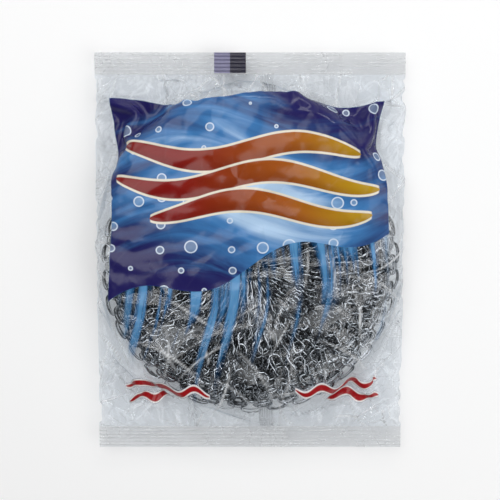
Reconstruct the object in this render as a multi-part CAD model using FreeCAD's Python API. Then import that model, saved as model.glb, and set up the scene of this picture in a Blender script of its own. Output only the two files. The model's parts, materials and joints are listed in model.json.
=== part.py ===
"""Knitted steel wire pot scrubber sealed in a clear film wrap, lying on its back.

X runs across the wrap, Y along it towards the top seal, and Z up through the printed front.
The origin is on the surface that the wrap lies on, below the middle of the wrap. Lengths are in millimetres.
"""
import FreeCAD, Part
import math
import os

# Scrubber: a knitted sleeve of flat wire, rolled on itself into a flat round pad
scrubber_diameter = 124.0
rim_height = 14.7  # of the pad where its edge rounds over
crown_rise = 2.4  # of the pad's highest ring above its rim
crown_radius = 27.0  # of that ring
dimple_depth = 1.6  # of the sunk middle of the front
bore_radius = 6.0  # of the hole that the sleeve's tail goes through
core_edge_radius = 1.2  # of the rounded edge of the roll's core
turns = 3  # of the sleeve over its core
turn_gap = 0.3  # between one turn and the next
rim_loops = 42  # loops of wire round the edge
loop_depth = 1.3  # of the notch between two loops
knit_rows = 18  # rings of loops from the bore out to the rim, on the front and on the back
row_depth = 0.5  # of the groove between two rings

# Tail of the sleeve and the wire that ties it
tail_gap = 0.3  # between the tail and the bore
waist_depth = 1.7  # of the neck where the tie sits
tie_wire_diameter = 0.8
tie_turns = 3
tie_pitch = 1.4
tie_gap = 0.15  # between the tie and the neck

# Wrap: one web of film, seamed down the back and crimped shut at both ends
film = 0.3
fold_height = 6.0  # of the side folds and end seals above the surface
side_slack = 1.4  # between the scrubber and each side fold
end_slack = 5.3  # between the scrubber at the end of its play and an end seal
head_room = 1.3  # between the scrubber and the front film
seat_gap = 0.3  # between the scrubber and the back seam
seal_gap = 0.2  # between front and back film where they come into an end seal
play_up = 10.5  # how far the scrubber can shift towards the top seal
play_down = 0.5  # and towards the bottom seal
seam_width = 6.0
seam_place = 7.0  # of the seam's middle, to the right of the wrap's middle

# End seals, each a ribbed strip that folds at its inner edge
crimp_length = 9.0
crimp_ribs = 6
rib_rise = 0.35
bead_radius = 0.45  # of the rounded inner edge
hinge_gap = 0.25  # between that edge and the film

overrun = 1.0  # how far cutting shapes pass what they cut

# Places that follow from the sizes above
radius = scrubber_diameter / 2
rim_radius = rim_height / 2
knee = radius - rim_radius  # where the rim starts to round over
crown_height = rim_height + crown_rise
ply = (rim_radius - core_edge_radius) / turns - turn_gap  # one turn of the sleeve
seat_height = 2 * film + seat_gap
axis_height = seat_height + rim_radius
half_play = (play_up + play_down) / 2
rest_shift = play_down - half_play
reach = radius + half_play
half_width = radius + side_slack + film
half_cavity = reach + end_slack
hinge_place = half_cavity + hinge_gap + bead_radius
front_height = seat_height + crown_height + head_room + film
end_drop = 2 * film + seal_gap
back_run = fold_height  # from a side fold in to where the back film lies flat
seam_left = seam_place - seam_width / 2
seam_right = seam_place + seam_width / 2

# Front film: it leaves the rounded rim at this angle above level, and slopes straight down to the end seals
foot_run = half_cavity - half_play - knee
foot_drop = axis_height - fold_height - film
drape_radius = rim_radius + head_room + film
drape_angle = math.acos(drape_radius / math.hypot(foot_run, foot_drop)) - math.atan2(foot_drop, foot_run)

# Back film along half of the wrap: places, and the share of its drop from the end seal that it has made there
station_places = (
    half_cavity,
    reach + end_slack / 6,
    reach - rim_radius / 3,
    reach - rim_radius * 2 / 3,
    reach / 2,
    0,
)
back_drop_shares = (0, 0.30, 0.66, 1, 1, 1)

ACROSS = FreeCAD.Vector(1, 0, 0)
UP = FreeCAD.Vector(0, 0, 1)
MIDDLE = FreeCAD.Vector(0, rest_shift, 0)


def line(a, b):
    return Part.LineSegment(a, b).toShape()


def arc(a, b, c):
    return Part.Arc(a, b, c).toShape()


def level_arc(low, high):
    """Arc in the XZ plane from a low point to a high one, level where it ends."""
    run = low.x - high.x
    rise = high.z - low.z
    curve_radius = (run ** 2 + rise ** 2) / (2 * rise)
    half_turn = math.asin(run / curve_radius) / 2
    across = curve_radius * math.sin(half_turn)
    down = curve_radius * (1 - math.cos(half_turn))
    return arc(low, FreeCAD.Vector(high.x + across, 0, high.z - down), high)


def spin(edges):
    """Solid turned about the scrubber's own upright axis, in its place at rest."""
    face = Part.Face(Part.Wire(edges))
    solid = face.revolve(FreeCAD.Vector(0, 0, 0), UP)
    solid.translate(MIDDLE)
    return solid


def back_at(distance):
    """Height of the pad's back, the same at any distance from its middle."""
    return seat_height


def front_at(distance):
    """Height of the pad's front at a distance from its middle."""
    outside = distance > crown_radius
    run = knee - crown_radius if outside else crown_radius - bore_radius
    drop = crown_rise if outside else dimple_depth
    curve_radius = (run ** 2 + drop ** 2) / (2 * drop)
    sunk = curve_radius - math.sqrt(curve_radius ** 2 - (distance - crown_radius) ** 2)
    return seat_height + crown_height - sunk


def knitted_face(height, groove):
    """Edges across the pad's front or back, from the bore to the knee: one bulge for each ring of loops."""
    step = (knee - bore_radius) / knit_rows

    def at(row, sunk):
        distance = bore_radius + row * step
        return FreeCAD.Vector(distance, 0, height(distance) + sunk)

    ends = [at(row, groove if 0 < row < knit_rows else 0) for row in range(knit_rows + 1)]
    bulges = [arc(ends[row], at(row + 0.5, 0), ends[row + 1]) for row in range(1, knit_rows - 1)]
    return [level_arc(ends[1], ends[0])] + bulges + [level_arc(ends[-2], ends[-1])]


def pad(inset, bore, knitted=False):
    """Whole pad, drawn in by the inset on its front, rim and back, with a hole through its middle."""
    low = seat_height + inset
    bulge = (rim_radius - inset) * math.sqrt(0.5)
    top = seat_height + crown_height - inset
    inner_low = FreeCAD.Vector(bore, 0, low)
    outer_low = FreeCAD.Vector(knee, 0, low)
    tip = FreeCAD.Vector(radius - inset, 0, axis_height)
    outer_high = FreeCAD.Vector(knee, 0, seat_height + rim_height - inset)
    crown = FreeCAD.Vector(crown_radius, 0, top)
    inner_high = FreeCAD.Vector(bore, 0, top - dimple_depth)
    rim = [
        arc(outer_low, FreeCAD.Vector(knee + bulge, 0, axis_height - bulge), tip),
        arc(tip, FreeCAD.Vector(knee + bulge, 0, axis_height + bulge), outer_high),
    ]
    back = [line(inner_low, outer_low)]
    front = [level_arc(outer_high, crown), level_arc(inner_high, crown)]
    if knitted:
        back = knitted_face(back_at, row_depth)
        front = knitted_face(front_at, -row_depth)[::-1]
    return spin(back + rim + front + [line(inner_high, inner_low)])


def sleeve_turn(number):
    """One turn of the knitted sleeve: a shell over the front, round the rim and under the back."""
    inset = number * (ply + turn_gap)
    outermost = number == 0
    return pad(inset, bore_radius, outermost).cut(pad(inset + ply, bore_radius - overrun))


def rim_scallops():
    """Upright prism whose outline has one bulge for each loop of wire round the rim."""
    step = 2 * math.pi / rim_loops

    def at(angle, distance):
        place = FreeCAD.Vector(distance * math.cos(angle), distance * math.sin(angle), seat_height - overrun)
        return place + MIDDLE

    notch = radius - loop_depth
    bulges = [
        arc(at(k * step, notch), at((k + 0.5) * step, radius), at((k + 1) * step, notch))
        for k in range(rim_loops)
    ]
    return Part.Face(Part.Wire(bulges)).extrude(UP * (crown_height + 2 * overrun))


def tail_tuck():
    """Tail of the sleeve, drawn together in the bore, with a neck for its tie."""
    full = bore_radius - tail_gap
    neck = full - waist_depth
    top = seat_height + crown_height - dimple_depth
    middle = (seat_height + top) / 2
    half_neck = tie_turns * tie_pitch / 2 + tie_wire_diameter
    outline = [
        (0, seat_height),
        (full, seat_height),
        (full, middle - half_neck - waist_depth),
        (neck, middle - half_neck),
        (neck, middle + half_neck),
        (full, middle + half_neck + waist_depth),
        (full, top),
        (0, top),
    ]
    corners = [FreeCAD.Vector(r, 0, z) for r, z in outline]
    return spin([line(a, b) for a, b in zip(corners, corners[1:] + corners[:1])])


def tie_wire():
    """Turns of wire round the neck of the tail, as one tube."""
    neck = bore_radius - tail_gap - waist_depth
    turn_radius = neck + tie_gap + tie_wire_diameter / 2
    middle = seat_height + (crown_height - dimple_depth) / 2
    start = middle - tie_turns * tie_pitch / 2

    def at(turn):
        angle = 2 * math.pi * turn
        across = turn_radius * math.cos(angle)
        along = turn_radius * math.sin(angle)
        return FreeCAD.Vector(across, along, start + tie_pitch * turn) + MIDDLE

    quarters = [arc(at(q / 4), at(q / 4 + 0.125), at(q / 4 + 0.25)) for q in range(4 * tie_turns)]
    section = Part.Circle(at(0), FreeCAD.Vector(0, 1, 0), tie_wire_diameter / 2).toShape()
    tube = Part.Wire(quarters).makePipeShell([Part.Wire(section)], True, False)
    points = [at(k / 48) for k in range(48 * tie_turns + 1)]
    least = min((a - b).Length for i, a in enumerate(points) for b in points[i + 24:])
    print("tie_wire least gap to itself", round(least - tie_wire_diameter, 2), "mm")
    return tube


def film_swell(room, floor):
    """Body under film that is drawn over the scrubber anywhere in its play, at some room from it."""
    rim = rim_radius + room
    top = seat_height + crown_height + room

    def on_rim(angle):
        return FreeCAD.Vector(knee + rim * math.cos(angle), 0, axis_height + rim * math.sin(angle))

    leave = on_rim(drape_angle)
    shoulder = on_rim(math.pi / 2)
    foot = FreeCAD.Vector(leave.x + (leave.z - floor) * math.tan(drape_angle), 0, floor)
    crown = FreeCAD.Vector(crown_radius, 0, top)
    top_middle = FreeCAD.Vector(0, 0, top)
    low_middle = FreeCAD.Vector(0, 0, floor)
    half_profile = Part.Face(Part.Wire([
        line(low_middle, foot),
        line(foot, leave),
        arc(leave, on_rim((drape_angle + math.pi / 2) / 2), shoulder),
        level_arc(shoulder, crown),
        line(crown, top_middle),
        line(top_middle, low_middle),
    ]))
    along = FreeCAD.Vector(0, half_play, 0)
    round_end = half_profile.revolve(FreeCAD.Vector(0, 0, 0), UP, 180).translated(along)
    side = half_profile.translated(-along).extrude(2 * along)
    other_end, other_side = (shape.rotated(FreeCAD.Vector(0, 0, 0), UP, 180) for shape in (round_end, side))
    return round_end.fuse([side, other_end, other_side]).removeSplitter()


def wrap_block(half_across, half_along, low, high):
    """Block about the middle of the wrap, between two heights."""
    corner = FreeCAD.Vector(-half_across, -half_along, low)
    return Part.makeBox(2 * half_across, 2 * half_along, high - low, corner)


def front_film():
    """Front of the wrap: drawn over the scrubber, upright along the sides and flat in the corners."""
    floor = fold_height - overrun
    brim = wrap_block(half_width, half_cavity, fold_height, fold_height + film)
    outer = film_swell(head_room + film, floor).common(
        wrap_block(half_width, half_cavity, fold_height, front_height + overrun))
    inner = film_swell(head_room, floor).common(
        wrap_block(half_width - film, half_cavity - film, floor, front_height + overrun))
    return brim.fuse(outer).cut(inner).removeSplitter()


def stations():
    """Place along the wrap and height of the back film there, from bottom to top."""
    rows = [
        (place, (1 - drop) * (fold_height - end_drop))
        for place, drop in zip(station_places, back_drop_shares)
    ]
    return [(-place, back) for place, back in rows] + rows[-2::-1]


def side_bend(side, edge, level, place):
    """Quarter bend of back film from a side fold to the level that the film runs in at."""
    fold = FreeCAD.Vector(side * edge, place, fold_height)
    inner = FreeCAD.Vector(side * (edge - back_run), place, level)
    bow = math.sqrt(0.5)
    bend_across = side * (edge - back_run * (1 - bow))
    bend = FreeCAD.Vector(bend_across, place, fold_height + bow * (level - fold_height))
    return fold, bend, inner


def back_section(side, seam_edge):
    """Function giving the outline of one back panel, from its side fold to the seam and back."""
    def section(place, back):
        fold, bend, inner = side_bend(side, half_width, back, place)
        lined_fold, lined_bend, lined_inner = side_bend(side, half_width - film, back + film, place)
        seam_low = FreeCAD.Vector(seam_edge, place, back)
        seam_high = FreeCAD.Vector(seam_edge, place, back + film)
        return [
            arc(fold, bend, inner),
            line(inner, seam_low),
            line(seam_low, seam_high),
            line(seam_high, lined_inner),
            arc(lined_inner, lined_bend, lined_fold),
            line(lined_fold, fold),
        ]
    return section


def seam_section(place, back):
    """Outline of the back seam: two plies of film, one on the other."""
    corners = [
        FreeCAD.Vector(seam_left, place, back),
        FreeCAD.Vector(seam_right, place, back),
        FreeCAD.Vector(seam_right, place, back + 2 * film),
        FreeCAD.Vector(seam_left, place, back + 2 * film),
    ]
    return [line(a, b) for a, b in zip(corners, corners[1:] + corners[:1])]


def strip(near, far):
    """Face from an edge of one outline to the same edge of the next: flat between two straight edges."""
    if near.Curve.TypeId == far.Curve.TypeId == "Part::GeomLine":
        corners = [v.Point for v in near.Vertexes + far.Vertexes[::-1]]
        return Part.Face(Part.makePolygon(corners + corners[:1]))
    return Part.makeRuledSurface(near, far)


def film_panel(section):
    """Solid ruled from each outline of film to the next along the wrap."""
    outlines = [section(*row) for row in stations()]
    faces = [Part.Face(Part.Wire(outlines[0])), Part.Face(Part.Wire(outlines[-1]))]
    for near, far in zip(outlines, outlines[1:]):
        faces += [strip(a, b) for a, b in zip(near, far)]
    shell = Part.makeShell(faces)
    shell.sewShape()
    solid = Part.makeSolid(Part.Shell(shell.Faces))
    if solid.Volume < 0:
        solid.reverse()
    return solid.removeSplitter()


def end_crimp(end):
    """Ribbed end seal, with a rounded inner edge on the line that it folds about."""
    pitch = crimp_length / crimp_ribs
    rows = [0] + [k * pitch / 2 for k in range(1, 2 * crimp_ribs)] + [crimp_length]
    rises = [0] + [rib_rise if k % 2 else -rib_rise for k in range(1, 2 * crimp_ribs)] + [0]

    def edge(height):
        return [
            FreeCAD.Vector(-half_width, end * (hinge_place + row), fold_height + rise + height)
            for row, rise in zip(rows, rises)
        ]

    outline = edge(film) + edge(-film)[::-1]
    ribbon = Part.Face(Part.makePolygon(outline + outline[:1])).extrude(ACROSS * 2 * half_width)
    hinge_end = FreeCAD.Vector(-half_width, end * hinge_place, fold_height)
    bead = Part.makeCylinder(bead_radius, 2 * half_width, hinge_end, ACROSS)
    return ribbon.fuse(bead).removeSplitter()


pieces = {
    "outer_turn": sleeve_turn(0).common(rim_scallops()),
    "second_turn": sleeve_turn(1),
    "third_turn": sleeve_turn(2),
    "core_roll": pad(turns * (ply + turn_gap), bore_radius),
    "tail_tuck": tail_tuck(),
    "tie_wire": tie_wire(),
    "front_film": front_film(),
    "back_film_left": film_panel(back_section(-1, seam_left)),
    "back_film_right": film_panel(back_section(1, seam_right)),
    "back_seam": film_panel(seam_section),
    "top_crimp": end_crimp(1),
    "bottom_crimp": end_crimp(-1),
}

os.makedirs("parts", exist_ok=True)
for name, shape in pieces.items():
    shape.exportStep("parts/" + name + ".step")
    print(name, "valid", shape.isValid(), "solids", len(shape.Solids), "volume", round(shape.Volume, 1))
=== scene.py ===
"""A knitted steel pot scrubber sealed in a clear film wrap with a printed front.

Lengths are in metres: X runs across the wrap, Y towards its top seal and Z up through its front.
"""
import json
import math

import bpy
import numpy as np
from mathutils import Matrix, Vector


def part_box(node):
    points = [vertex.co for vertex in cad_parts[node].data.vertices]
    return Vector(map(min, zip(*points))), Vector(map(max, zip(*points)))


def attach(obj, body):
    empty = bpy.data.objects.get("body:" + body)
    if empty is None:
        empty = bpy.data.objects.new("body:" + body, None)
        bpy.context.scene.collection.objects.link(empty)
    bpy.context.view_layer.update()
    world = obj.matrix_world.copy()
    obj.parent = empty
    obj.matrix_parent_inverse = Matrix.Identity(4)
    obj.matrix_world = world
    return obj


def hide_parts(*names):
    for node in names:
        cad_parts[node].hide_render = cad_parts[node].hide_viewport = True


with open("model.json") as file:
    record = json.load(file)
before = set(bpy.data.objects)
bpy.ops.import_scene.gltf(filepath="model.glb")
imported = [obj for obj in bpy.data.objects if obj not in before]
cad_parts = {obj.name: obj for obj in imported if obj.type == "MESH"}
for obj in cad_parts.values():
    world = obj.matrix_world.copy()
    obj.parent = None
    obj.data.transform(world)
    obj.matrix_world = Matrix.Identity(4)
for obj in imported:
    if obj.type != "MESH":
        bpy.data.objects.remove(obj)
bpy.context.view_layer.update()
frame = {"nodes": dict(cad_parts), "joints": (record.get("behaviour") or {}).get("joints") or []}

MM = 0.001
TURN = 2.0 * math.pi
JOINTS = {joint["name"]: joint for joint in frame["joints"]}

# The pad: a flat round of knitted wire, thickest along a ring round its middle
PAD_LOW, PAD_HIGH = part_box("outer_turn")
PAD_RADIUS = (PAD_HIGH.y - PAD_LOW.y) / 2
PAD_PLACE = (PAD_HIGH.y + PAD_LOW.y) / 2
PAD_SEAT = PAD_LOW.z
RIM_RADIUS = 7.35 * MM
CROWN_RING = 27.0 * MM
BORE_RADIUS = 5.0 * MM
DIMPLE_DEPTH = 1.6 * MM
RIM_MIDDLE = PAD_SEAT + RIM_RADIUS
KNEE_RADIUS = PAD_RADIUS - RIM_RADIUS
CROWN_RISE = PAD_HIGH.z - PAD_SEAT - 2 * RIM_RADIUS
OUTER_INSET = 0.3 * MM
SECOND_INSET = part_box("second_turn")[0].z - PAD_SEAT
THIRD_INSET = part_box("third_turn")[0].z - PAD_SEAT
CORE_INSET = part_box("core_roll")[0].z - PAD_SEAT

# The knit: one flat wire looped round and round
WIRE_WIDTH = 1.05 * MM
WIRE_THICKNESS = 0.14 * MM
SLEEVE_LOOPS = 34
SLEEVE_COURSES = 20.0
RIM_LOOPS = 34
EAR_REACH = 3.0 * MM
EAR_GUIDE = 9.0 * MM
EAR_WIRE_WIDTH = 0.85 * MM
# Rings of rim loops: height from the rim's middle, how far they stand proud of it, and turns of wire
EAR_RINGS = ((-4.6 * MM, -1.0 * MM, 3.0), (-1.5 * MM, -0.4 * MM, 2.0),
             (1.5 * MM, 0.7 * MM, 2.0), (4.6 * MM, -0.8 * MM, 3.0))

# The wrap: a tube of film, flat at its two seals
FILM_LOW, FILM_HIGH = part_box("front_film")
FOLD_HEIGHT = FILM_LOW.z
HALF_WIDTH = FILM_HIGH.x
SEAL_PLACE = JOINTS["top_seal_fold"]["pos_m"][1]
SEAL_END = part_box("top_crimp")[1].y
SEAM_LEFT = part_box("back_seam")[0].x
SEAM_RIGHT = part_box("back_seam")[1].x
PLAY_DOWN, PLAY_UP = JOINTS["scrubber_shift"]["range_m"]
FLAT_WIDTH = 139.0 * MM
FLAT_LENGTH = 157.0 * MM
FILM_THICKNESS = 0.06 * MM
SEAL_RIBS = 6
RIB_PITCH = (SEAL_END - SEAL_PLACE) / SEAL_RIBS
SEAM_RIBS = 6
SEAM_RIB_PITCH = (SEAM_RIGHT - SEAM_LEFT) / SEAM_RIBS

# How the film settles: the room that it leaves, the pull of its links and its fall in each step
PAD_CLEARANCE = 0.7 * MM
BACK_CLEARANCE = 1.1 * MM
SEAL_ROOM = 0.5 * MM
FOLD_ROOM = 0.15 * MM
FLOOR_ROOM = 0.05 * MM
FOLD_PLAY = 1.2 * MM
LUMP_HEIGHT = 1.1 * MM
LUMP_WAVES = 14
LUMP_PITCHES = (8.0, 19.0)
FILM_COLUMNS = 180
FILM_ROWS = 105
STRETCH_PULL = 1.0
SHEAR_PULL = 0.6
BENDING_PULL = 0.12
SETTLE_STEPS = 240
LINK_PASSES = 4
KEPT_SPEED = 0.96
FALL = 0.0015 * MM
START_UNEVENNESS = 0.25 * MM

# Creases in the settled film, with a white highlight painted along each
FRONT_CREASES = 150
BACK_CREASES = 60
CREASE_LINE = 0.32 * MM
SEAL_FADE = 4.0 * MM
FOLD_FADE = 2.0 * MM

# The printed panel, in millimetres from the middle of the flat front
PANEL_TOP = 62.0
PANEL_LOW = -4.0
PANEL_LEFT = -51.8
PANEL_RIGHT = 50.2
PANEL_EDGE = (-0.1, 0.2)
BUBBLE_PITCH = 9.0
# Ribbons: height, middle, half length and where their wave starts
RIBBONS = ((40.0, -4.0, 45.0, 0.0), (29.0, -1.0, 49.0, 0.9), (18.0, 4.0, 41.0, 1.8))
RIBBON_HALF = 4.1
RIBBON_RIM = 0.9
RIBBON_EDGE = (-0.1, 0.25)
# Red waves: left end, right end and height
RED_WAVES = ((-52.0, -15.0, -53.5), (-50.0, -30.0, -60.0), (17.0, 53.0, -53.0), (30.0, 53.0, -59.5))
WAVE_HALF = 1.5
WAVE_RIM = 0.8
WAVE_EDGE = (-0.1, 0.3)
# The sensing mark on the top seal: its left end, the step between its blocks, its right end and its foot
MARK_LEFT = -14.8
MARK_STEP = -8.3
MARK_RIGHT = -1.9
MARK_FOOT = 74.0

# The studio and the camera
FLOOR_REACH = 1.5
ROOM_LEVEL = 0.06
HORIZON_LEVEL = 0.85
# Lamps: place, width, height and power in watts
LAMPS = {
    "key_light": ((-0.28, 0.38, 0.80), 0.85, 0.85, 5.6),
    "fill_light": ((0.60, -0.20, 0.60), 0.7, 0.7, 3.6),
    "edge_light": ((0.15, 0.75, 0.45), 0.7, 0.06, 1.5),
}
CAMERA_TARGET = Vector((0.0, 1.5 * MM, 8.0 * MM))
CAMERA_DISTANCE = 0.45
CAMERA_LEAN = math.radians(5.6)
VIEW_WIDTH = 0.2072


class Field:
    """A number that varies over a mesh or a surface, so that node maths reads as plain sums."""

    def __init__(self, tree, socket):
        self.tree = tree
        self.socket = socket

    def maths(self, operation, *others):
        node = self.tree.nodes.new("ShaderNodeMath")
        node.operation = operation
        for place, value in zip(node.inputs, (self,) + others):
            feed(self.tree, place, value)
        return Field(self.tree, node.outputs[0])

    def __add__(self, other):
        return self.maths("ADD", other)

    def __mul__(self, other):
        return self.maths("MULTIPLY", other)

    def __sub__(self, other):
        return self.maths("SUBTRACT", other)

    def __rsub__(self, other):
        return self * -1.0 + other

    def __truediv__(self, other):
        return self.maths("DIVIDE", other)

    def sin(self):
        return self.maths("SINE")

    def cos(self):
        return self.maths("COSINE")

    def abs(self):
        return self.maths("ABSOLUTE")

    def root(self):
        return self.maths("MAXIMUM", 0.0).maths("SQRT")

    def power(self, other):
        return self.maths("POWER", other)

    def least(self, other):
        return self.maths("MINIMUM", other)

    def most(self, other):
        return self.maths("MAXIMUM", other)

    def ease(self, low, high):
        """0 below low and 1 above high, with a smooth step between them."""
        node = add(self.tree, "ShaderNodeMapRange", {"Value": self, "From Min": low, "From Max": high},
                   interpolation_type="SMOOTHSTEP")
        return Field(self.tree, node.outputs["Result"])


def feed(tree, socket, value):
    """Links a field or an output to a socket, or sets the socket to a plain value."""
    if isinstance(value, Field):
        value = value.socket
    if isinstance(value, bpy.types.NodeSocket):
        tree.links.new(value, socket)
    else:
        socket.default_value = value


def add(tree, kind, inputs=(), **settings):
    node = tree.nodes.new(kind)
    for name, value in settings.items():
        setattr(node, name, value)
    for name, value in dict(inputs).items():
        feed(tree, node.inputs[name], value)
    return node


def colour(red, green, blue):
    """A colour from its usual 0 to 255 levels."""
    def level(value):
        share = value / 255
        return share / 12.92 if share <= 0.04045 else ((share + 0.055) / 1.055) ** 2.4
    return (level(red), level(green), level(blue), 1.0)


def mix_colours(tree, share, below, above):
    return add(tree, "ShaderNodeMix", {0: share, 6: below, 7: above}, data_type="RGBA").outputs[2]


def new_tree(name, kind, inputs, outputs):
    """A node group with named sockets, and its input and output nodes."""
    tree = bpy.data.node_groups.new(name, kind)
    for label, socket_type, value in inputs:
        socket = tree.interface.new_socket(label, in_out="INPUT", socket_type=socket_type)
        if value is not None:
            socket.default_value = value
    for label, socket_type in outputs:
        tree.interface.new_socket(label, in_out="OUTPUT", socket_type=socket_type)
    return tree, tree.nodes.new("NodeGroupInput"), tree.nodes.new("NodeGroupOutput")


def place_mesh(name, mesh, material=None):
    obj = bpy.data.objects.new(name, mesh)
    bpy.context.scene.collection.objects.link(obj)
    if material is not None:
        mesh.materials.clear()
        mesh.materials.append(material)
    return obj


def grown(name, tree, values):
    """The plain mesh that a Geometry Nodes tree makes from the given input values."""
    obj = place_mesh(name, bpy.data.meshes.new(name + "_seed"))
    modifier = obj.modifiers.new("nodes", "NODES")
    modifier.node_group = tree
    sockets = {item.name: item.identifier
               for item in tree.interface.items_tree if item.in_out == "INPUT"}
    for label, value in values.items():
        modifier[sockets[label]] = value
    return applied(obj)


def applied(obj):
    """Turns an object's modifiers into its mesh."""
    mesh = bpy.data.meshes.new_from_object(obj.evaluated_get(bpy.context.evaluated_depsgraph_get()))
    obj.modifiers.clear()
    before = obj.data
    obj.data = mesh
    mesh.name = obj.name
    bpy.data.meshes.remove(before)
    return obj


def thickened(obj, thickness):
    """Gives a sheet its thickness, half to each side."""
    wall = obj.modifiers.new("film", "SOLIDIFY")
    wall.thickness = thickness
    wall.offset = 0.0
    return applied(obj)


def finish_piece(obj, body, slot, *nodes):
    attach(obj, body)
    if nodes:
        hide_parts(*nodes)
    return obj


# Materials

def new_material(name):
    material = bpy.data.materials.new(name)
    material.use_nodes = True
    tree = material.node_tree
    tree.nodes.clear()
    return material, tree, tree.nodes.new("ShaderNodeOutputMaterial")


def object_place(tree):
    return add(tree, "ShaderNodeTexCoord").outputs["Object"]


def object_axes(tree):
    """The X, Y and Z of each place on a piece."""
    axes = add(tree, "ShaderNodeSeparateXYZ", {"Vector": object_place(tree)})
    return [Field(tree, axis) for axis in axes.outputs]


def steel_wire():
    """Bright zinc-coated flat wire, duller in patches and marked along its length by the rollers."""
    material, tree, out = new_material("steel_wire")
    place = object_place(tree)
    patches = add(tree, "ShaderNodeTexNoise", {"Vector": place, "Scale": 95.0, "Detail": 3.0})
    specks = add(tree, "ShaderNodeTexNoise", {"Vector": place, "Scale": 1400.0, "Detail": 2.0})
    patch = Field(tree, patches.outputs[0])
    speck = Field(tree, specks.outputs[0])
    zinc = mix_colours(tree, patch.ease(0.35, 0.68), colour(146, 150, 154), colour(206, 209, 213))
    zinc = mix_colours(tree, speck.ease(0.55, 0.75) * 0.4, zinc, colour(120, 124, 130))
    bump = add(tree, "ShaderNodeBump", {"Height": speck, "Strength": 0.25, "Distance": 0.05 * MM})
    metal = add(tree, "ShaderNodeBsdfPrincipled", {
        "Base Color": zinc,
        "Metallic": 1.0,
        "Roughness": patch * 0.12 + speck * 0.08 + 0.07,
        "Normal": bump.outputs[0],
    })
    tree.links.new(metal.outputs[0], out.inputs["Surface"])
    return material


def film_crinkle_group():
    """Crinkles of thin film: heights for bump, facets that face different ways, and a mask of rubbed
    places with painted highlights: glint lines along cell edges and whitish sheen on some cells.
    """
    tree, given, out = new_tree(
        "film_crinkle", "ShaderNodeTree",
        [("Size", "NodeSocketFloat", 6.0),
         ("Haze", "NodeSocketFloat", 0.1),
         ("Tilt", "NodeSocketFloat", 0.3)],
        [("Height", "NodeSocketFloat"), ("Haze", "NodeSocketFloat"), ("Normal", "NodeSocketVector")])
    place = object_place(tree)
    size = Field(tree, given.outputs["Size"]) * MM
    per_metre = size.power(-1.0)

    # Cells whose edges waver, with folds and rubbed places over them
    waver = add(tree, "ShaderNodeTexNoise", {"Vector": place, "Scale": per_metre * 0.8, "Detail": 2.0})
    aside = add(tree, "ShaderNodeVectorMath", {
        0: waver.outputs["Color"], 1: (0.5, 0.5, 0.5)}, operation="SUBTRACT")
    bend = add(tree, "ShaderNodeVectorMath", {0: aside.outputs[0], "Scale": size * 1.2}, operation="SCALE")
    bent = add(tree, "ShaderNodeVectorMath", {0: place, 1: bend.outputs[0]}, operation="ADD").outputs[0]
    ridges = add(tree, "ShaderNodeTexVoronoi", {
        "Vector": bent, "Scale": per_metre, "Randomness": 1.0}, feature="DISTANCE_TO_EDGE")
    cells = add(tree, "ShaderNodeTexVoronoi", {"Vector": bent, "Scale": per_metre, "Randomness": 1.0})
    folds = add(tree, "ShaderNodeTexNoise", {
        "Vector": place, "Scale": per_metre * 1.6, "Detail": 3.0, "Distortion": 1.2})
    rubs = add(tree, "ShaderNodeTexNoise", {"Vector": place, "Scale": 48.0, "Detail": 4.0})
    ridge = Field(tree, ridges.outputs[0])
    height = ridge * 0.5 + Field(tree, folds.outputs[0])
    worn = Field(tree, rubs.outputs[0])
    # White glint lines painted along the cell edges, shown where the film is crumpled
    line = 1.0 - ridge.ease(0.0, 0.035)

    # Each cell is a facet with its own small tilt, where the film is crumpled
    way = add(tree, "ShaderNodeSeparateColor", {0: cells.outputs["Color"]})
    crumpled = worn.ease(0.48, 0.60)
    tilt = Field(tree, given.outputs["Tilt"]) * crumpled
    lean = add(tree, "ShaderNodeCombineXYZ", {
        0: (Field(tree, way.outputs[0]) - 0.5) * tilt,
        1: (Field(tree, way.outputs[1]) - 0.5) * tilt,
        2: 0.0})
    facing = add(tree, "ShaderNodeNewGeometry").outputs["Normal"]
    leaned = add(tree, "ShaderNodeVectorMath", {0: facing, 1: lean.outputs[0]}, operation="ADD")
    normal = add(tree, "ShaderNodeVectorMath", {0: leaned.outputs[0]}, operation="NORMALIZE")
    # Painted whitish sheen on some crumpled cells; it joins the painted glint lines and the rubbed places
    # in one mask
    veil = Field(tree, way.outputs[2]).ease(0.7, 0.74) * crumpled
    rubbed = worn.ease(0.54, 0.78)
    haze_and_glint = (rubbed + line * crumpled * 5.0 + veil * 4.0) * Field(tree, given.outputs["Haze"])
    feed(tree, out.inputs["Height"], height)
    feed(tree, out.inputs["Haze"], haze_and_glint)
    feed(tree, out.inputs["Normal"], normal.outputs[0])
    return tree


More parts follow.
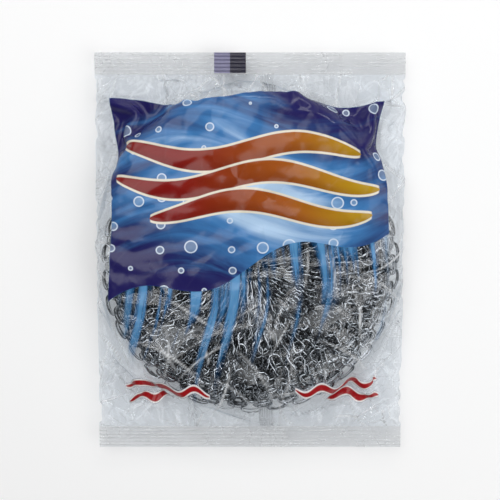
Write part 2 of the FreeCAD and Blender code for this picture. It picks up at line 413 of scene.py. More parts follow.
def film_surface(tree, crinkle, size, haze_and_glint, tilt, tint, roughness, bump, rib_highlight=0.0):
    """The shader of clear film, with rubbed places and painted highlights mixed in as white diffuse, and
    the normal that its gloss and its ink share.
    """
    group = add(tree, "ShaderNodeGroup", node_tree=crinkle)
    group.inputs["Size"].default_value = size
    group.inputs["Haze"].default_value = haze_and_glint
    group.inputs["Tilt"].default_value = tilt
    wrinkle = add(tree, "ShaderNodeBump", {
        "Height": group.outputs["Height"], "Normal": group.outputs["Normal"],
        "Strength": bump, "Distance": 0.4 * MM})
    normal = wrinkle.outputs[0]
    clear = add(tree, "ShaderNodeBsdfTransparent", {"Color": tint})
    gloss = add(tree, "ShaderNodeBsdfGlossy", {
        "Color": (1.0, 1.0, 1.0, 1.0), "Roughness": roughness, "Normal": normal})
    slant = add(tree, "ShaderNodeLayerWeight", {"Blend": 0.5, "Normal": normal}).outputs["Facing"]
    shine = Field(tree, slant).power(5.0) * 0.2 + 0.02
    film = add(tree, "ShaderNodeMixShader", {0: shine, 1: clear.outputs[0], 2: gloss.outputs[0]})
    # White diffuse for the rubbed places and for the painted highlights: crinkle glint lines and sheen,
    # crease lines and rib crests
    rubbed = add(tree, "ShaderNodeBsdfDiffuse", {"Color": colour(238, 240, 242), "Normal": normal})
    # The white highlight painted along the creases
    crease = Field(tree, add(tree, "ShaderNodeAttribute", attribute_name="crease").outputs["Fac"])
    share = (Field(tree, group.outputs["Haze"]) + crease * 0.7 + rib_highlight).least(0.8)
    hazed_and_highlighted = add(tree, "ShaderNodeMixShader", {0: share, 1: film.outputs[0], 2: rubbed.outputs[0]})
    return hazed_and_highlighted.outputs[0], normal


def clear_film(crinkle):
    material, tree, out = new_material("clear_film")
    film, _ = film_surface(tree, crinkle, size=9.0, haze_and_glint=0.02, tilt=0.32, tint=colour(250, 251, 252),
                           roughness=0.08, bump=0.25)
    tree.links.new(film, out.inputs["Surface"])
    return material


def seal_film(crinkle):
    """Two films welded between ribbed jaws, with a white highlight painted along the rib crests and a
    sensing mark printed across the top seal.
    """
    material, tree, out = new_material("seal_film")
    x, y = [axis / MM for axis in object_axes(tree)[:2]]
    streak_place = add(tree, "ShaderNodeCombineXYZ", {0: x * 0.06, 1: y * 0.9, 2: 0.0})
    streaks = add(tree, "ShaderNodeTexNoise", {
        "Vector": streak_place.outputs[0], "Scale": 1.0, "Detail": 3.0}, noise_dimensions="2D")
    # A white highlight painted along the rib crests, broken into streaks
    crests = (y.abs() * (TURN / RIB_PITCH * MM)).sin().ease(0.6, 1.0)
    rib_highlight = crests * Field(tree, streaks.outputs[0]).ease(0.46, 0.66) * 0.65
    film, normal = film_surface(tree, crinkle, size=5.0, haze_and_glint=0.04, tilt=0.2, tint=colour(240, 241, 242),
                                roughness=0.1, bump=0.3, rib_highlight=rib_highlight)
    block = (x.ease(MARK_LEFT, MARK_LEFT + 0.3) * (1.0 - x.ease(MARK_RIGHT, MARK_RIGHT + 0.3))
             * y.ease(MARK_FOOT, MARK_FOOT + 0.2))
    dark = x.ease(MARK_STEP, MARK_STEP + 0.2)
    mark = mix_colours(tree, dark, colour(132, 130, 160), colour(52, 50, 66))
    ink = add(tree, "ShaderNodeBsdfPrincipled", {
        "Base Color": mark, "Roughness": 0.3, "Normal": normal})
    printed = add(tree, "ShaderNodeMixShader", {0: block * 0.93, 1: film, 2: ink.outputs[0]})
    tree.links.new(printed.outputs[0], out.inputs["Surface"])
    return material


def seam_film(crinkle):
    """The film's two edges welded together down the back into ribs along the wrap, with a white highlight
    painted along each rib.
    """
    material, tree, out = new_material("seam_film")
    across = object_axes(tree)[0] - SEAM_LEFT
    # A white highlight painted in stripes along the ribs
    rib_highlight = (across * (TURN / SEAM_RIB_PITCH)).sin().ease(0.3, 1.0) * 0.22
    film, _ = film_surface(tree, crinkle, size=5.0, haze_and_glint=0.04, tilt=0.2, tint=colour(243, 244, 245),
                           roughness=0.1, bump=0.3, rib_highlight=rib_highlight)
    tree.links.new(film, out.inputs["Surface"])
    return material


def wrap_print_group():
    """The printed panel, in millimetres of flat film: water with ribbons, bubbles and trickles."""
    tree, given, out = new_tree(
        "wrap_print", "ShaderNodeTree", [],
        [("Ink", "NodeSocketColor"), ("Cover", "NodeSocketFloat")])
    tree.nodes.remove(given)
    flat = add(tree, "ShaderNodeUVMap", uv_map="flat")
    axes = add(tree, "ShaderNodeSeparateXYZ", {"Vector": flat.outputs[0]})
    x = (Field(tree, axes.outputs["X"]) - 0.5) * (2 * HALF_WIDTH / MM)
    y = (Field(tree, axes.outputs["Y"]) - 0.5) * (2 * SEAL_PLACE / MM)

    # The field, with waves along its top and its lower edge
    top_edge = (x * 0.1 + 0.4).sin() * 1.6 + PANEL_TOP
    low_edge = x * 0.30 + (x * 0.11).sin() * 4.5 + PANEL_LOW
    flare = y * y * 0.0011
    left_edge = (y * 0.09).sin() * 0.9 + PANEL_LEFT - flare
    right_edge = (y * 0.08 + 1.0).sin() * 0.9 + PANEL_RIGHT + flare
    field = ((top_edge - y).ease(*PANEL_EDGE) * (y - low_edge).ease(*PANEL_EDGE)
             * (x - left_edge).ease(*PANEL_EDGE) * (right_edge - x).ease(*PANEL_EDGE))

    # Water: pale in the middle, with long wavy streaks
    swell = y + (x * 0.06).sin() * 7.0
    streak_place = add(tree, "ShaderNodeCombineXYZ", {0: x * 0.022, 1: swell * 0.12, 2: 0.0})
    streaks = add(tree, "ShaderNodeTexNoise", {
        "Vector": streak_place.outputs[0], "Scale": 1.0, "Detail": 4.0, "Distortion": 0.5},
        noise_dimensions="2D")
    streak = Field(tree, streaks.outputs[0])
    across = (x + 2.0) / 1.45
    rise = swell - 26.0
    far = (across * across + rise * rise).root() + (streak - 0.5) * 44.0
    water = mix_colours(tree, far.ease(44.0, 18.0), colour(36, 32, 94), colour(68, 132, 194))
    water = mix_colours(tree, far.ease(24.0, 5.0), water, colour(188, 218, 248))

    # Bubbles: rings with a faint fill
    bubble_place = add(tree, "ShaderNodeCombineXYZ", {0: x / BUBBLE_PITCH, 1: y / BUBBLE_PITCH, 2: 0.0})
    cells = add(tree, "ShaderNodeTexVoronoi", {
        "Vector": bubble_place.outputs[0], "Scale": 1.0, "Randomness": 0.6}, voronoi_dimensions="2D")
    picks = add(tree, "ShaderNodeSeparateColor", {0: cells.outputs["Color"]})
    off_middle = Field(tree, cells.outputs["Distance"]) * BUBBLE_PITCH
    bubble = Field(tree, picks.outputs[0]) * 1.9 + 0.7
    chosen = Field(tree, picks.outputs[1]).ease(0.42, 0.44)
    inside = (bubble - off_middle).ease(0.0, 0.25)
    ring = inside * (1.0 - (bubble - off_middle).ease(0.45, 0.75))
    water = mix_colours(tree, inside * chosen * 0.25, water, colour(196, 224, 250))
    water = mix_colours(tree, ring * chosen * 0.85, water, colour(226, 238, 252))

    # Three ribbons from red through orange to yellow, with pale edges
    warm = mix_colours(tree, x.ease(-30.0, 22.0), colour(138, 22, 18), colour(172, 92, 26))
    warm = mix_colours(tree, x.ease(10.0, 48.0), warm, colour(190, 152, 26))
    picture = water
    for level, middle, reach, phase in RIBBONS:
        end = (x - middle) / reach
        half = (1.0 - end * end).root() * RIBBON_HALF
        off = y - level - (x * 0.085 + phase).sin() * 3.6
        body = (half - off.abs()).ease(*RIBBON_EDGE)
        rim = (half + RIBBON_RIM - off.abs()).ease(*RIBBON_EDGE) * (1.0 - end.abs().ease(0.985, 1.0))
        shaded = mix_colours(tree, off.ease(1.5, -4.0) * 0.4, warm, colour(92, 16, 14))
        picture = mix_colours(tree, rim, picture, colour(240, 232, 214))
        picture = mix_colours(tree, body, picture, shaded)

    # Clear blue trickles that run down from the field over the wire and thin out
    below = low_edge - y
    trickle_place = add(tree, "ShaderNodeCombineXYZ", {
        0: (x + (y * 0.09).sin() * 2.5 + below * 0.12) * 0.2, 1: y * 0.014, 2: 0.0})
    trickles = add(tree, "ShaderNodeTexNoise", {
        "Vector": trickle_place.outputs[0], "Scale": 1.0, "Detail": 3.0, "Distortion": 0.25},
        noise_dimensions="2D")
    trickle = Field(tree, trickles.outputs[0]) - below * 0.0046
    veil = (trickle.ease(0.44, 0.57) * (1.0 - field) * below.ease(-0.4, 0.0)
            * (x + 50.0).ease(0.0, 8.0) * (52.0 - x).ease(0.0, 6.0))
    thick = trickle.ease(0.47, 0.63)
    veil_blue = mix_colours(tree, thick, colour(34, 110, 174), colour(106, 174, 228))
    picture = mix_colours(tree, field, veil_blue, picture)
    cover = field + veil * (thick * 0.3 + 0.36) * (1.0 - below.ease(0.0, 38.0) * 0.65)

    # Short red waves with pale outlines, low on both sides
    for start, end, level in RED_WAVES:
        middle = (start + end) / 2
        off_end = ((x - middle) / ((end - start) / 2)).abs()
        half = (1.0 - off_end * off_end).root() * WAVE_HALF
        off = (y - level - (x * 0.52).sin() * 1.5).abs()
        body = (half - off).ease(*WAVE_EDGE)
        rim = (half + WAVE_RIM - off).ease(*WAVE_EDGE) * (1.0 - off_end.ease(0.99, 1.01))
        picture = mix_colours(tree, rim, picture, colour(238, 234, 232))
        picture = mix_colours(tree, body, picture, colour(164, 22, 28))
        cover = cover.most(rim)

    feed(tree, out.inputs["Ink"], picture)
    feed(tree, out.inputs["Cover"], cover.least(1.0))
    return tree


def printed_film(crinkle):
    """Clear film with the printed panel under its gloss."""
    material, tree, out = new_material("printed_film")
    film, normal = film_surface(tree, crinkle, size=10.0, haze_and_glint=0.02, tilt=0.3, tint=colour(250, 251, 252),
                                roughness=0.07, bump=0.3)
    art = add(tree, "ShaderNodeGroup", node_tree=wrap_print_group())
    ink = add(tree, "ShaderNodeBsdfPrincipled", {
        "Base Color": art.outputs["Ink"],
        "Roughness": 0.22,
        "Specular IOR Level": 0.35,
        "Normal": normal,
    })
    printed = add(tree, "ShaderNodeMixShader", {
        0: Field(tree, art.outputs["Cover"]) * 0.96, 1: film, 2: ink.outputs[0]})
    tree.links.new(printed.outputs[0], out.inputs["Surface"])
    return material


# The knitted pad

def pad_outline(inset):
    """Radius and height of points over the pad's skin, from the front's middle round to the back."""
    steps = np.linspace(0.0, 1.0, 16)
    top = RIM_MIDDLE + RIM_RADIUS + CROWN_RISE - inset
    hollow = BORE_RADIUS + (CROWN_RING - BORE_RADIUS) * steps
    knee = KNEE_RADIUS - EAR_REACH
    slope = CROWN_RING + (knee - CROWN_RING) * steps
    bend = math.pi * (0.5 - steps)
    rim = RIM_RADIUS - inset
    front = [(r, top - DIMPLE_DEPTH * (1.0 - step) ** 2) for r, step in zip(hollow, steps)]
    shoulder = [(r, top - CROWN_RISE * step ** 2) for r, step in zip(slope, steps)]
    edge = [(knee + rim * math.cos(a), RIM_MIDDLE + rim * math.sin(a)) for a in bend]
    back = [(knee - (knee - BORE_RADIUS) * step, RIM_MIDDLE - rim) for step in steps]
    return front + shoulder[1:] + edge[1:] + back[1:]


def guide_curve(name, outline):
    """A curve in the plane of X and Z that a knitted course follows while it goes round."""
    data = bpy.data.curves.new(name, "CURVE")
    data.dimensions = "3D"
    spline = data.splines.new("POLY")
    spline.points.add(len(outline) - 1)
    for point, (radius, height) in zip(spline.points, outline):
        point.co = (radius, 0.0, height, 1.0)
    guide = bpy.data.objects.new(name, data)
    bpy.context.scene.collection.objects.link(guide)
    return guide


def knit_tree():
    """One wire, knitted in loops along a guide curve as it goes round the pad's middle."""
    tree, given, out = new_tree("knit_wire", "GeometryNodeTree", [
        ("Guide", "NodeSocketObject", None),
        ("Loops per Turn", "NodeSocketInt", SLEEVE_LOOPS),
        ("Turns", "NodeSocketFloat", SLEEVE_COURSES),
        ("Courses", "NodeSocketFloat", SLEEVE_COURSES),
        ("Climb", "NodeSocketFloat", 1.0),
        ("Points per Loop", "NodeSocketInt", 16),
        ("Loop Rise", "NodeSocketFloat", 0.8),
        ("Loop Sway", "NodeSocketFloat", 0.2),
        ("Bulge", "NodeSocketFloat", 0.8 * MM),
        ("Course Shift", "NodeSocketFloat", 0.0),
        ("Angle Shift", "NodeSocketFloat", 0.0),
        ("Wander", "NodeSocketFloat", 0.5),
        ("Stray", "NodeSocketFloat", 2.4 * MM),
        ("Depth", "NodeSocketFloat", 1.2 * MM),
        ("Twist", "NodeSocketFloat", 1.4),
        ("Seed", "NodeSocketInt", 1),
        ("Wire Width", "NodeSocketFloat", WIRE_WIDTH),
        ("Wire Thickness", "NodeSocketFloat", WIRE_THICKNESS),
        ("Material", "NodeSocketMaterial", None),
    ], [("Geometry", "NodeSocketGeometry")])

    def size(label):
        return Field(tree, given.outputs[label])

    steps = size("Points per Loop")
    loops = size("Loops per Turn")
    courses = size("Courses")
    line = add(tree, "GeometryNodeCurvePrimitiveLine")
    points = add(tree, "GeometryNodeResampleCurve", {
        "Curve": line.outputs[0], "Count": loops * size("Turns") * steps + 1.0}, mode="COUNT")

    loop = Field(tree, add(tree, "GeometryNodeInputIndex").outputs[0]) / steps
    phase = loop * TURN
    stray_place = add(tree, "ShaderNodeCombineXYZ", {0: loop * 1.3, 1: size("Seed") * 17.3, 2: 0.0})
    stray = add(tree, "ShaderNodeTexNoise", {
        "Vector": stray_place.outputs[0], "Scale": 1.0, "Detail": 1.0}, noise_dimensions="2D")
    strays = add(tree, "FunctionNodeSeparateColor", {0: stray.outputs["Color"]})
    lean = Field(tree, strays.outputs[0]) - 0.5
    aside = lean * 2.0 * size("Stray")
    onward = (Field(tree, strays.outputs[1]) - 0.5) * 2.0 * size("Wander")
    sunk = (Field(tree, strays.outputs[2]) - 0.5).abs() * 2.0 * size("Depth")

    angle = (loop + (phase * 2.0).sin() * size("Loop Sway")) / loops * TURN + size("Angle Shift")
    climbed = loop / loops * size("Climb")
    course = climbed + phase.cos() * size("Loop Rise") + size("Course Shift") + onward
    guide = add(tree, "GeometryNodeObjectInfo", {"Object": given.outputs["Guide"]})
    spot = add(tree, "GeometryNodeSampleCurve", {
        "Curves": guide.outputs["Geometry"], "Factor": (course / courses).most(0.0).least(1.0)},
        mode="FACTOR", use_all_curves=True)
    skin = add(tree, "ShaderNodeSeparateXYZ", {0: spot.outputs["Position"]})
    run = add(tree, "ShaderNodeSeparateXYZ", {0: spot.outputs["Tangent"]})
    lift = ((phase * 2.0).cos() + 1.0) * size("Bulge") * -0.5 - sunk
    radius = Field(tree, skin.outputs["X"]) - Field(tree, run.outputs["Z"]) * lift
    height = Field(tree, skin.outputs["Z"]) + Field(tree, run.outputs["X"]) * lift
    place = add(tree, "ShaderNodeCombineXYZ", {
        0: radius * angle.sin() + aside * angle.cos(),
        1: radius * angle.cos() - aside * angle.sin() + PAD_PLACE,
        2: height})
    wire = add(tree, "GeometryNodeSetPosition", {
        "Geometry": points.outputs[0], "Position": place.outputs[0]})
    tilted = add(tree, "GeometryNodeSetCurveTilt", {
        "Curve": wire.outputs[0], "Tilt": lean * size("Twist") * TURN})
    section = add(tree, "GeometryNodeCurvePrimitiveQuadrilateral", {
        "Width": size("Wire Width"), "Height": size("Wire Thickness")})
    solid = add(tree, "GeometryNodeCurveToMesh", {
        "Curve": tilted.outputs[0], "Profile Curve": section.outputs[0], "Fill Caps": True})
    whole = add(tree, "GeometryNodeRealizeInstances", {"Geometry": solid.outputs[0]})
    painted = add(tree, "GeometryNodeSetMaterial", {
        "Geometry": whole.outputs[0], "Material": given.outputs["Material"]})
    feed(tree, out.inputs[0], painted.outputs[0])
    return tree


def knit_layer(tree, name, inset, strands, node, values):
    """One turn of the sleeve: wires that run side by side over the pad at one depth."""
    guide = guide_curve(name + "_guide", pad_outline(inset))
    for strand in range(strands):
        piece = grown(f"{name}_{strand + 1}", tree, dict(
            values, Guide=guide, Seed=int(inset / MM * 10) + strand * 7,
            **{"Course Shift": 0.3 * strand, "Angle Shift": 0.02 * strand}))
        finish_piece(piece, "scrubber", "steel_wire", node)
    bpy.data.objects.remove(guide)


def rim_ears(tree, steel):
    """Nested loops that stand out round the rim, in rings one above the other."""
    for number, (height, proud, turns) in enumerate(EAR_RINGS):
        reach = KNEE_RADIUS + math.sqrt((RIM_RADIUS - 0.2 * MM) ** 2 - height ** 2) + proud
        outline = [(reach - EAR_GUIDE, RIM_MIDDLE + height * 1.2), (reach, RIM_MIDDLE + height)]
        guide = guide_curve("ear_guide", outline)
        piece = grown(f"rim_loops_{number + 1}", tree, {
            "Guide": guide,
            "Loops per Turn": RIM_LOOPS,
            "Turns": turns,
            "Courses": 3.0,
            "Climb": -0.3,
            "Points per Loop": 24,
            "Loop Rise": 1.1,
            "Loop Sway": 0.23,
            "Course Shift": 1.8,
            "Angle Shift": number * TURN / RIM_LOOPS / 2,
            "Wander": 0.2,
            "Stray": 1.0 * MM,
            "Depth": 0.9 * MM,
            "Twist": 0.8,
            "Seed": 60 + number,
            "Wire Width": EAR_WIRE_WIDTH,
            "Material": steel,
        })
        finish_piece(piece, "scrubber", "steel_wire", "outer_turn")
        bpy.data.objects.remove(guide)


def tail_plug(tree, steel):
    """The sleeve's own end, stuffed into the hole through the middle."""
    low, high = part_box("tail_tuck")
    reach = (high.x - low.x) / 2
    heart = reach * 0.15
    outline = [(heart, high.z), (reach, high.z), (reach, low.z), (heart, low.z)]
    guide = guide_curve("tail_guide", outline)
    piece = grown("tail_knit", tree, {
        "Guide": guide,
        "Loops per Turn": 7,
        "Turns": 16.0,
        "Courses": 16.0,
        "Points per Loop": 12,
        "Stray": 1.5 * MM,
        "Depth": 1.5 * MM,
        "Seed": 90,
        "Material": steel,
    })
    finish_piece(piece, "scrubber", "steel_wire", "tail_tuck")
    bpy.data.objects.remove(guide)


def knit_pad(steel):
    tree = knit_tree()
    knit_layer(tree, "outer_knit", OUTER_INSET, 1, "outer_turn", {"Material": steel})
    inner = {"Material": steel, "Points per Loop": 12}
    knit_layer(tree, "second_knit", SECOND_INSET, 2, "second_turn", inner)
    knit_layer(tree, "third_knit", THIRD_INSET, 2, "third_turn", inner)
    knit_layer(tree, "core_knit", CORE_INSET, 2, "core_roll", inner)
    rim_ears(tree, steel)
    tail_plug(tree, steel)
    for slot in frame["nodes"]["tie_wire"].material_slots:
        slot.material = steel


# The film wrap

def pad_lumps(points):
    """How far the knit's bunched loops lift the film, from 0 to 1, at each point."""
    noise = np.random.default_rng(5)
    total = np.zeros(len(points))
    for _ in range(LUMP_WAVES):
        heading = noise.uniform(0.0, TURN)
        pitch = noise.uniform(*LUMP_PITCHES) * MM
        phase = noise.uniform(0.0, TURN)
        run = points[:, 0] * math.cos(heading) + points[:, 1] * math.sin(heading)
        total += np.sin(run / pitch * TURN + phase)
    return np.clip(0.5 + total / 9.0, 0.0, 1.0)


def pad_envelope(points, clearance):
    """Pushes film out of the room that the pad takes up over its whole play."""
    nearest = np.clip(points[:, 1], PAD_PLACE + PLAY_DOWN, PAD_PLACE + PLAY_UP)
    along = points[:, 1] - nearest
    reach = np.hypot(points[:, 0], along) + 1e-9
    past_knee = np.maximum(reach - KNEE_RADIUS, 0.0)
    rise = points[:, 2] - RIM_MIDDLE
    slope = np.clip((reach - CROWN_RING) / (KNEE_RADIUS - CROWN_RING), 0.0, 1.0)
    crown = np.where(rise > 0.0, CROWN_RISE * (1.0 - slope ** 2), 0.0)
    limit = RIM_RADIUS + crown + np.where(rise > 0.0, clearance, BACK_CLEARANCE)
    now = np.hypot(past_knee, rise) + 1e-9
    push = np.maximum(limit / now, 1.0)
    new_reach = np.where(past_knee > 0.0, KNEE_RADIUS + past_knee * push, reach)
    points[:, 0] *= new_reach / reach
    points[:, 1] = nearest + along * new_reach / reach
    points[:, 2] = RIM_MIDDLE + rise * push


def film_links(place):
    """Pairs of film points with the length and stiffness between them, in sets that share no point."""
    across = 2 * FLAT_WIDTH / FILM_COLUMNS
    along = FLAT_LENGTH / (FILM_ROWS - 1)
    slant = math.hypot(across, along)
    kinds = ((1, 0, across, STRETCH_PULL), (0, 1, along, STRETCH_PULL),
             (1, 1, slant, SHEAR_PULL), (1, -1, slant, SHEAR_PULL),
             (2, 0, 2 * across, BENDING_PULL), (0, 2, 2 * along, BENDING_PULL))
    links = []
    for right, up, length, stiffness in kinds:
        rows = np.arange(max(0, -up), FILM_ROWS - max(0, up))
        columns = np.arange(FILM_COLUMNS)
        axis, step = (columns, right) if right else (rows, up)
        for half in (0, 1):
            chosen = axis[(axis // step) % 2 == half]
            first_column, first_row = np.meshgrid(
                chosen if right else columns, rows if right else chosen, indexing="ij")
            first = place[first_column, first_row].ravel()
            second = place[(first_column + right) % FILM_COLUMNS, first_row + up].ravel()
            links.append((first, second, length, stiffness))
    return links


def wrap_start():
    """The wrap as a plain pillow round the pad: points by column round the tube and row along it."""
    half = FILM_COLUMNS // 2
    column = np.arange(FILM_COLUMNS)
    share = np.where(column <= half, column / half, 2.0 - column / half)
    front = np.where(column <= half, 1.0, -1.0)
    row = np.linspace(-1.0, 1.0, FILM_ROWS)
    across, along = np.meshgrid(2.0 * share - 1.0, row, indexing="ij")
    swell = np.sqrt((1.0 - across ** 6).clip(0.0) * (1.0 - along ** 6).clip(0.0))
    side = front[:, None] * np.ones_like(along)
    room = np.where(side > 0.0, FILM_HIGH.z - FOLD_HEIGHT, FOLD_HEIGHT - 2 * FLOOR_ROOM)
    height = FOLD_HEIGHT + side * room * swell
    return np.stack([across * HALF_WIDTH, along * SEAL_PLACE, height], axis=-1)


def settled_wrap():
    """Lets the film settle over the pad: it can't stretch, so what is spare gathers into folds."""
    grid = wrap_start()
    place = np.arange(FILM_COLUMNS * FILM_ROWS).reshape(FILM_COLUMNS, FILM_ROWS)
    points = grid.reshape(-1, 3).copy()
    links = film_links(place)
    held = np.zeros(len(points), bool)
    held[place[:, 0]] = held[place[:, -1]] = True
    free = np.where(held, 0.0, 1.0)
    pinned = points[held].copy()
    half = FILM_COLUMNS // 2
    folds = np.concatenate([place[0], place[half]])
    front = place[1:half].ravel()
    back = place[half + 1:].ravel()
    noise = np.random.default_rng(11)
    points += noise.normal(0.0, START_UNEVENNESS, points.shape) * free[:, None]
    speed = np.zeros_like(points)
    clearance = PAD_CLEARANCE + LUMP_HEIGHT * pad_lumps(points)
    for _ in range(SETTLE_STEPS):
        before = points.copy()
        points += speed * KEPT_SPEED
        points[:, 2] -= FALL
        for _ in range(LINK_PASSES):
            for first, second, length, stiffness in links:
                gap = points[second] - points[first]
                now = np.sqrt((gap * gap).sum(axis=1)) + 1e-12
                share = free[first] + free[second] + 1e-9
                pull = (stiffness * (now - length) / now / share)[:, None] * gap
                points[first] += pull * free[first][:, None]
                points[second] -= pull * free[second][:, None]
            pad_envelope(points, clearance)
            points[folds, 2] = FOLD_HEIGHT
            out_to = np.abs(points[folds, 0]).clip(HALF_WIDTH - FOLD_PLAY, HALF_WIDTH)
            points[folds, 0] = np.sign(points[folds, 0]) * out_to
            points[front, 2] = np.maximum(points[front, 2], FOLD_HEIGHT + FOLD_ROOM)
            points[back, 2] = np.clip(points[back, 2], FLOOR_ROOM, FOLD_HEIGHT - FOLD_ROOM)
            points[:, 0] = points[:, 0].clip(-HALF_WIDTH, HALF_WIDTH)
            points[:, 1] = points[:, 1].clip(SEAL_ROOM - SEAL_PLACE, SEAL_PLACE - SEAL_ROOM)
            points[held] = pinned
        speed = points - before
    return points.reshape(grid.shape)


def refined(grid, axis, closed):
    """Doubles the points along one axis of a grid, with smooth curves between them."""
    grid = np.moveaxis(grid, axis, 0)
    if closed:
        ahead, behind, further = np.roll(grid, -1, 0), np.roll(grid, 1, 0), np.roll(grid, -2, 0)
        between = (9 * (grid + ahead) - behind - further) / 16
        woven = np.stack([grid, between], axis=1).reshape(-1, *grid.shape[1:])
    else:
        padded = np.concatenate([2 * grid[:1] - grid[1:2], grid, 2 * grid[-1:] - grid[-2:-1]])
        between = (9 * (padded[1:-2] + padded[2:-1]) - padded[:-3] - padded[3:]) / 16
        woven = np.empty((2 * len(grid) - 1,) + grid.shape[1:])
        woven[0::2] = grid
        woven[1::2] = between
    return np.moveaxis(woven, 0, axis)


def crease_lines(across, along, count, seed):
    """Height in metres of straight and bowed creases in the film, and the strength from 0 to 1 of a white
    highlight painted along each.
    """
    noise = np.random.default_rng(seed)
    height = np.zeros_like(across)
    white = np.zeros_like(across)
    for _ in range(count):
        middle = noise.uniform(-0.5, 0.5, 2) * (FLAT_WIDTH, FLAT_LENGTH)
        heading = noise.uniform(0.0, math.pi)
        length = noise.uniform(4.0, 18.0) * MM
        spread = noise.uniform(1.0, 3.0) * MM
        slope = noise.uniform(0.06, 0.2)
        bend = noise.uniform(-14.0, 14.0)
        right, up = across - middle[0], along - middle[1]
        run = right * math.cos(heading) + up * math.sin(heading)
        off = np.abs(up * math.cos(heading) - right * math.sin(heading) - bend * run ** 2)
        window = np.clip(1.0 - (run / length) ** 2, 0.0, 1.0) ** 1.5
        height += slope * spread * np.exp(-off / spread) * window
        # A white highlight painted along the crease line, of random strength
        white += np.exp(-(off / CREASE_LINE) ** 2) * window * noise.uniform(0.1, 0.9)
    return height, white.clip(0.0, 1.0)


def film_sheet(name, points, across, along, creases, seed, material):
    """A sheet of film from a grid of points, with its flat places as its UV map."""
    columns, rows = across.shape
    column_step, row_step = np.gradient(points, axis=0), np.gradient(points, axis=1)
    normal = np.cross(column_step, row_step)
    normal /= np.linalg.norm(normal, axis=-1, keepdims=True) + 1e-12
    height, white = crease_lines(across, along, creases, seed)
    fade = np.clip((SEAL_PLACE - np.abs(points[..., 1])) / SEAL_FADE, 0.0, 1.0)
    fade *= np.clip(np.abs(points[..., 2] - FOLD_HEIGHT) / FOLD_FADE, 0.0, 1.0)
    points = points + normal * (height * fade)[..., None]
    points[..., 2] = np.maximum(points[..., 2], FLOOR_ROOM)
    number = np.arange(columns * rows).reshape(columns, rows)
    faces = np.stack([number[:-1, :-1], number[1:, :-1], number[1:, 1:], number[:-1, 1:]], axis=-1)
    faces = faces.reshape(-1, 4)
    mesh = bpy.data.meshes.new(name)
    mesh.from_pydata(points.reshape(-1, 3).tolist(), [], faces.tolist())
    flat = np.stack([across / FLAT_WIDTH + 0.5, along / FLAT_LENGTH + 0.5], axis=-1).reshape(-1, 2)
    uv = mesh.uv_layers.new(name="flat")
    uv.data.foreach_set("uv", flat[faces.ravel()].astype(np.float32).ravel())
    # The painted crease highlight, kept on the points for the film's shader
    crease = mesh.attributes.new("crease", "FLOAT", "POINT")
    crease.data.foreach_set("value", white.astype(np.float32).ravel())
    mesh.shade_smooth()
    return thickened(place_mesh(name, mesh, material), FILM_THICKNESS)


def film_wrap(printed, clear, seam_weld):
    """The tube of film, cut into the front, the two back panels and the seam between them."""
    grid = settled_wrap()
    grid = refined(refined(grid, 0, True), 1, False)
    columns, rows = grid.shape[:2]
    half = columns // 2
    along = np.linspace(-0.5, 0.5, rows) * FLAT_LENGTH
    front_across = np.linspace(-0.5, 0.5, half + 1) * FLAT_WIDTH
    across_grid, along_grid = np.meshgrid(front_across, along, indexing="ij")
    front = film_sheet("front_film_sheet", grid[:half + 1], across_grid, along_grid,
                       FRONT_CREASES, 21, printed)
    finish_piece(front, "wrap", "printed_film", "front_film")

    back = np.concatenate([grid[half:], grid[:1]])[::-1]
    edges = [0] + [int(np.argmin(np.abs(front_across - place * FLAT_WIDTH / (2 * HALF_WIDTH))))
                   for place in (SEAM_LEFT, SEAM_RIGHT)] + [half]
    names = ("back_film_left", "back_seam", "back_film_right")
    for number, name in enumerate(names):
        cut = slice(edges[number], edges[number + 1] + 1)
        finish = seam_weld if name == "back_seam" else clear
        sheet = film_sheet(name + "_sheet", back[cut][::-1], across_grid[cut][::-1],
                           along_grid[cut][::-1], BACK_CREASES, 31, finish)
        finish_piece(sheet, "wrap", "clear_film", name)


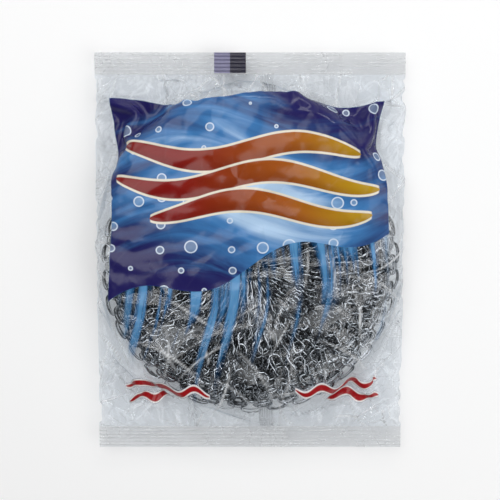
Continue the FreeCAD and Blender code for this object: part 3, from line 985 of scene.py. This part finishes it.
def crimp_tree():
    """A welded end strip, with ribs from the jaws that run across the wrap."""
    tree, given, out = new_tree("ribbed_seal", "GeometryNodeTree", [
        ("Width", "NodeSocketFloat", 2 * HALF_WIDTH),
        ("Length", "NodeSocketFloat", SEAL_END - SEAL_PLACE),
        ("Hinge", "NodeSocketFloat", SEAL_PLACE),
        ("Side", "NodeSocketFloat", 1.0),
        ("Ribs", "NodeSocketFloat", SEAL_RIBS),
        ("Rib Rise", "NodeSocketFloat", 0.2 * MM),
        ("Waviness", "NodeSocketFloat", 0.5 * MM),
        ("Seed", "NodeSocketFloat", 1.0),
        ("Material", "NodeSocketMaterial", None),
    ], [("Geometry", "NodeSocketGeometry")])

    def size(label):
        return Field(tree, given.outputs[label])

    sheet = add(tree, "GeometryNodeMeshGrid", {
        "Size X": given.outputs["Width"],
        "Size Y": given.outputs["Length"],
        "Vertices X": 160,
        "Vertices Y": 61,
    })
    axes = add(tree, "ShaderNodeSeparateXYZ", {0: add(tree, "GeometryNodeInputPosition").outputs[0]})
    x = Field(tree, axes.outputs["X"])
    share = Field(tree, axes.outputs["Y"]) / size("Length") + 0.5
    sway_place = add(tree, "ShaderNodeCombineXYZ", {0: x * 30.0, 1: share * 0.7, 2: size("Seed")})
    sway = add(tree, "ShaderNodeTexNoise", {
        "Vector": sway_place.outputs[0], "Scale": 1.0, "Detail": 2.0})
    ribs = (share * size("Ribs") * TURN).sin() * share.ease(0.0, 0.08) * (1.0 - share.ease(0.94, 1.0))
    wave = (Field(tree, sway.outputs[0]) - 0.5) * share * size("Waviness") * 2.0
    place = add(tree, "ShaderNodeCombineXYZ", {
        0: x,
        1: (share * size("Length") + size("Hinge")) * size("Side"),
        2: ribs * size("Rib Rise") + wave + FOLD_HEIGHT})
    ribbed = add(tree, "GeometryNodeSetPosition", {
        "Geometry": sheet.outputs[0], "Position": place.outputs[0]})
    smooth = add(tree, "GeometryNodeSetShadeSmooth", {"Geometry": ribbed.outputs[0]})
    whole = add(tree, "GeometryNodeRealizeInstances", {"Geometry": smooth.outputs[0]})
    painted = add(tree, "GeometryNodeSetMaterial", {
        "Geometry": whole.outputs[0], "Material": given.outputs["Material"]})
    feed(tree, out.inputs[0], painted.outputs[0])
    return tree


def end_seals(material):
    tree = crimp_tree()
    seals = []
    for number, (name, side) in enumerate((("top", 1.0), ("bottom", -1.0))):
        seal = grown(f"{name}_seal_strip", tree, {
            "Side": side, "Seed": 3.0 + number, "Material": material})
        if side < 0.0:
            seal.data.flip_normals()
        thickened(seal, 2 * FILM_THICKNESS)
        seals.append(finish_piece(seal, f"{name}_seal", "clear_film", f"{name}_crimp"))
    return seals


# The studio

def seen_rays(tree):
    """1 for the rays that show the background: straight to the camera, or by way of metal or film."""
    path = add(tree, "ShaderNodeLightPath")
    seen = Field(tree, path.outputs["Is Camera Ray"])
    for ray in ("Is Glossy Ray", "Is Transmission Ray"):
        seen = seen.most(path.outputs[ray])
    return seen


def studio():
    scene = bpy.context.scene
    scene.view_settings.view_transform = "Standard"
    scene.cycles.transparent_max_bounces = 32
    scene.world = studio_room()
    pale_floor()
    for name, (place, width, height, power) in LAMPS.items():
        lamp(name, place, width, height, power)


def studio_room():
    """A dim room with a pale band along the horizon."""
    world = bpy.data.worlds.new("studio")
    world.use_nodes = True
    tree = world.node_tree
    sky = tree.nodes["Background"]
    sky.inputs["Color"].default_value = (0.97, 0.985, 1.0, 1.0)
    heading = add(tree, "ShaderNodeTexCoord").outputs["Generated"]
    axes = add(tree, "ShaderNodeSeparateXYZ", {0: heading})
    pale = 1.0 - Field(tree, axes.outputs["Z"]).abs().ease(0.08, 0.3)
    feed(tree, sky.inputs["Strength"], seen_rays(tree) * pale * HORIZON_LEVEL + ROOM_LEVEL)
    return world


def pale_floor():
    """A sheet of white paper, paler with distance, that keeps the shadow of what lies on it."""
    mesh = bpy.data.meshes.new("floor")
    corners = [(FLOOR_REACH * right, FLOOR_REACH * up, 0.0)
               for right, up in ((-1, -1), (1, -1), (1, 1), (-1, 1))]
    mesh.from_pydata(corners, [], [(0, 1, 2, 3)])
    material, tree, out = new_material("floor_paper")
    paper = add(tree, "ShaderNodeBsdfDiffuse", {"Color": (0.9, 0.9, 0.9, 1.0)})
    x, y, _ = object_axes(tree)
    far = (x * x + y * y).root().ease(0.3, 1.2)
    lift = add(tree, "ShaderNodeEmission", {
        "Color": (1.0, 1.0, 1.0, 1.0), "Strength": seen_rays(tree) * (far * 0.65 + 0.17)})
    bright = add(tree, "ShaderNodeAddShader", {0: paper.outputs[0], 1: lift.outputs[0]})
    tree.links.new(bright.outputs[0], out.inputs["Surface"])
    return place_mesh("floor", mesh, material)


def lamp(name, place, width, height, power):
    data = bpy.data.lights.new(name, "AREA")
    data.shape = "RECTANGLE"
    data.size, data.size_y = width, height
    data.energy = power
    light = bpy.data.objects.new(name, data)
    light.location = place
    light.rotation_mode = "QUATERNION"
    light.rotation_quaternion = (-Vector(place)).to_track_quat("-Z", "Y")
    bpy.context.scene.collection.objects.link(light)


def camera():
    data = bpy.data.cameras.new("camera")
    view = bpy.data.objects.new("camera", data)
    away = Vector((0.0, math.sin(CAMERA_LEAN), math.cos(CAMERA_LEAN)))
    view.location = CAMERA_TARGET + away * CAMERA_DISTANCE
    view.rotation_euler = (-CAMERA_LEAN, 0.0, 0.0)
    data.lens = data.sensor_width * CAMERA_DISTANCE / VIEW_WIDTH
    bpy.context.scene.collection.objects.link(view)
    bpy.context.scene.camera = view


def main():
    crinkle = film_crinkle_group()
    knit_pad(steel_wire())
    seals = end_seals(seal_film(crinkle))
    film_wrap(printed_film(crinkle), clear_film(crinkle), seam_film(crinkle))
    studio()
    camera()


main()
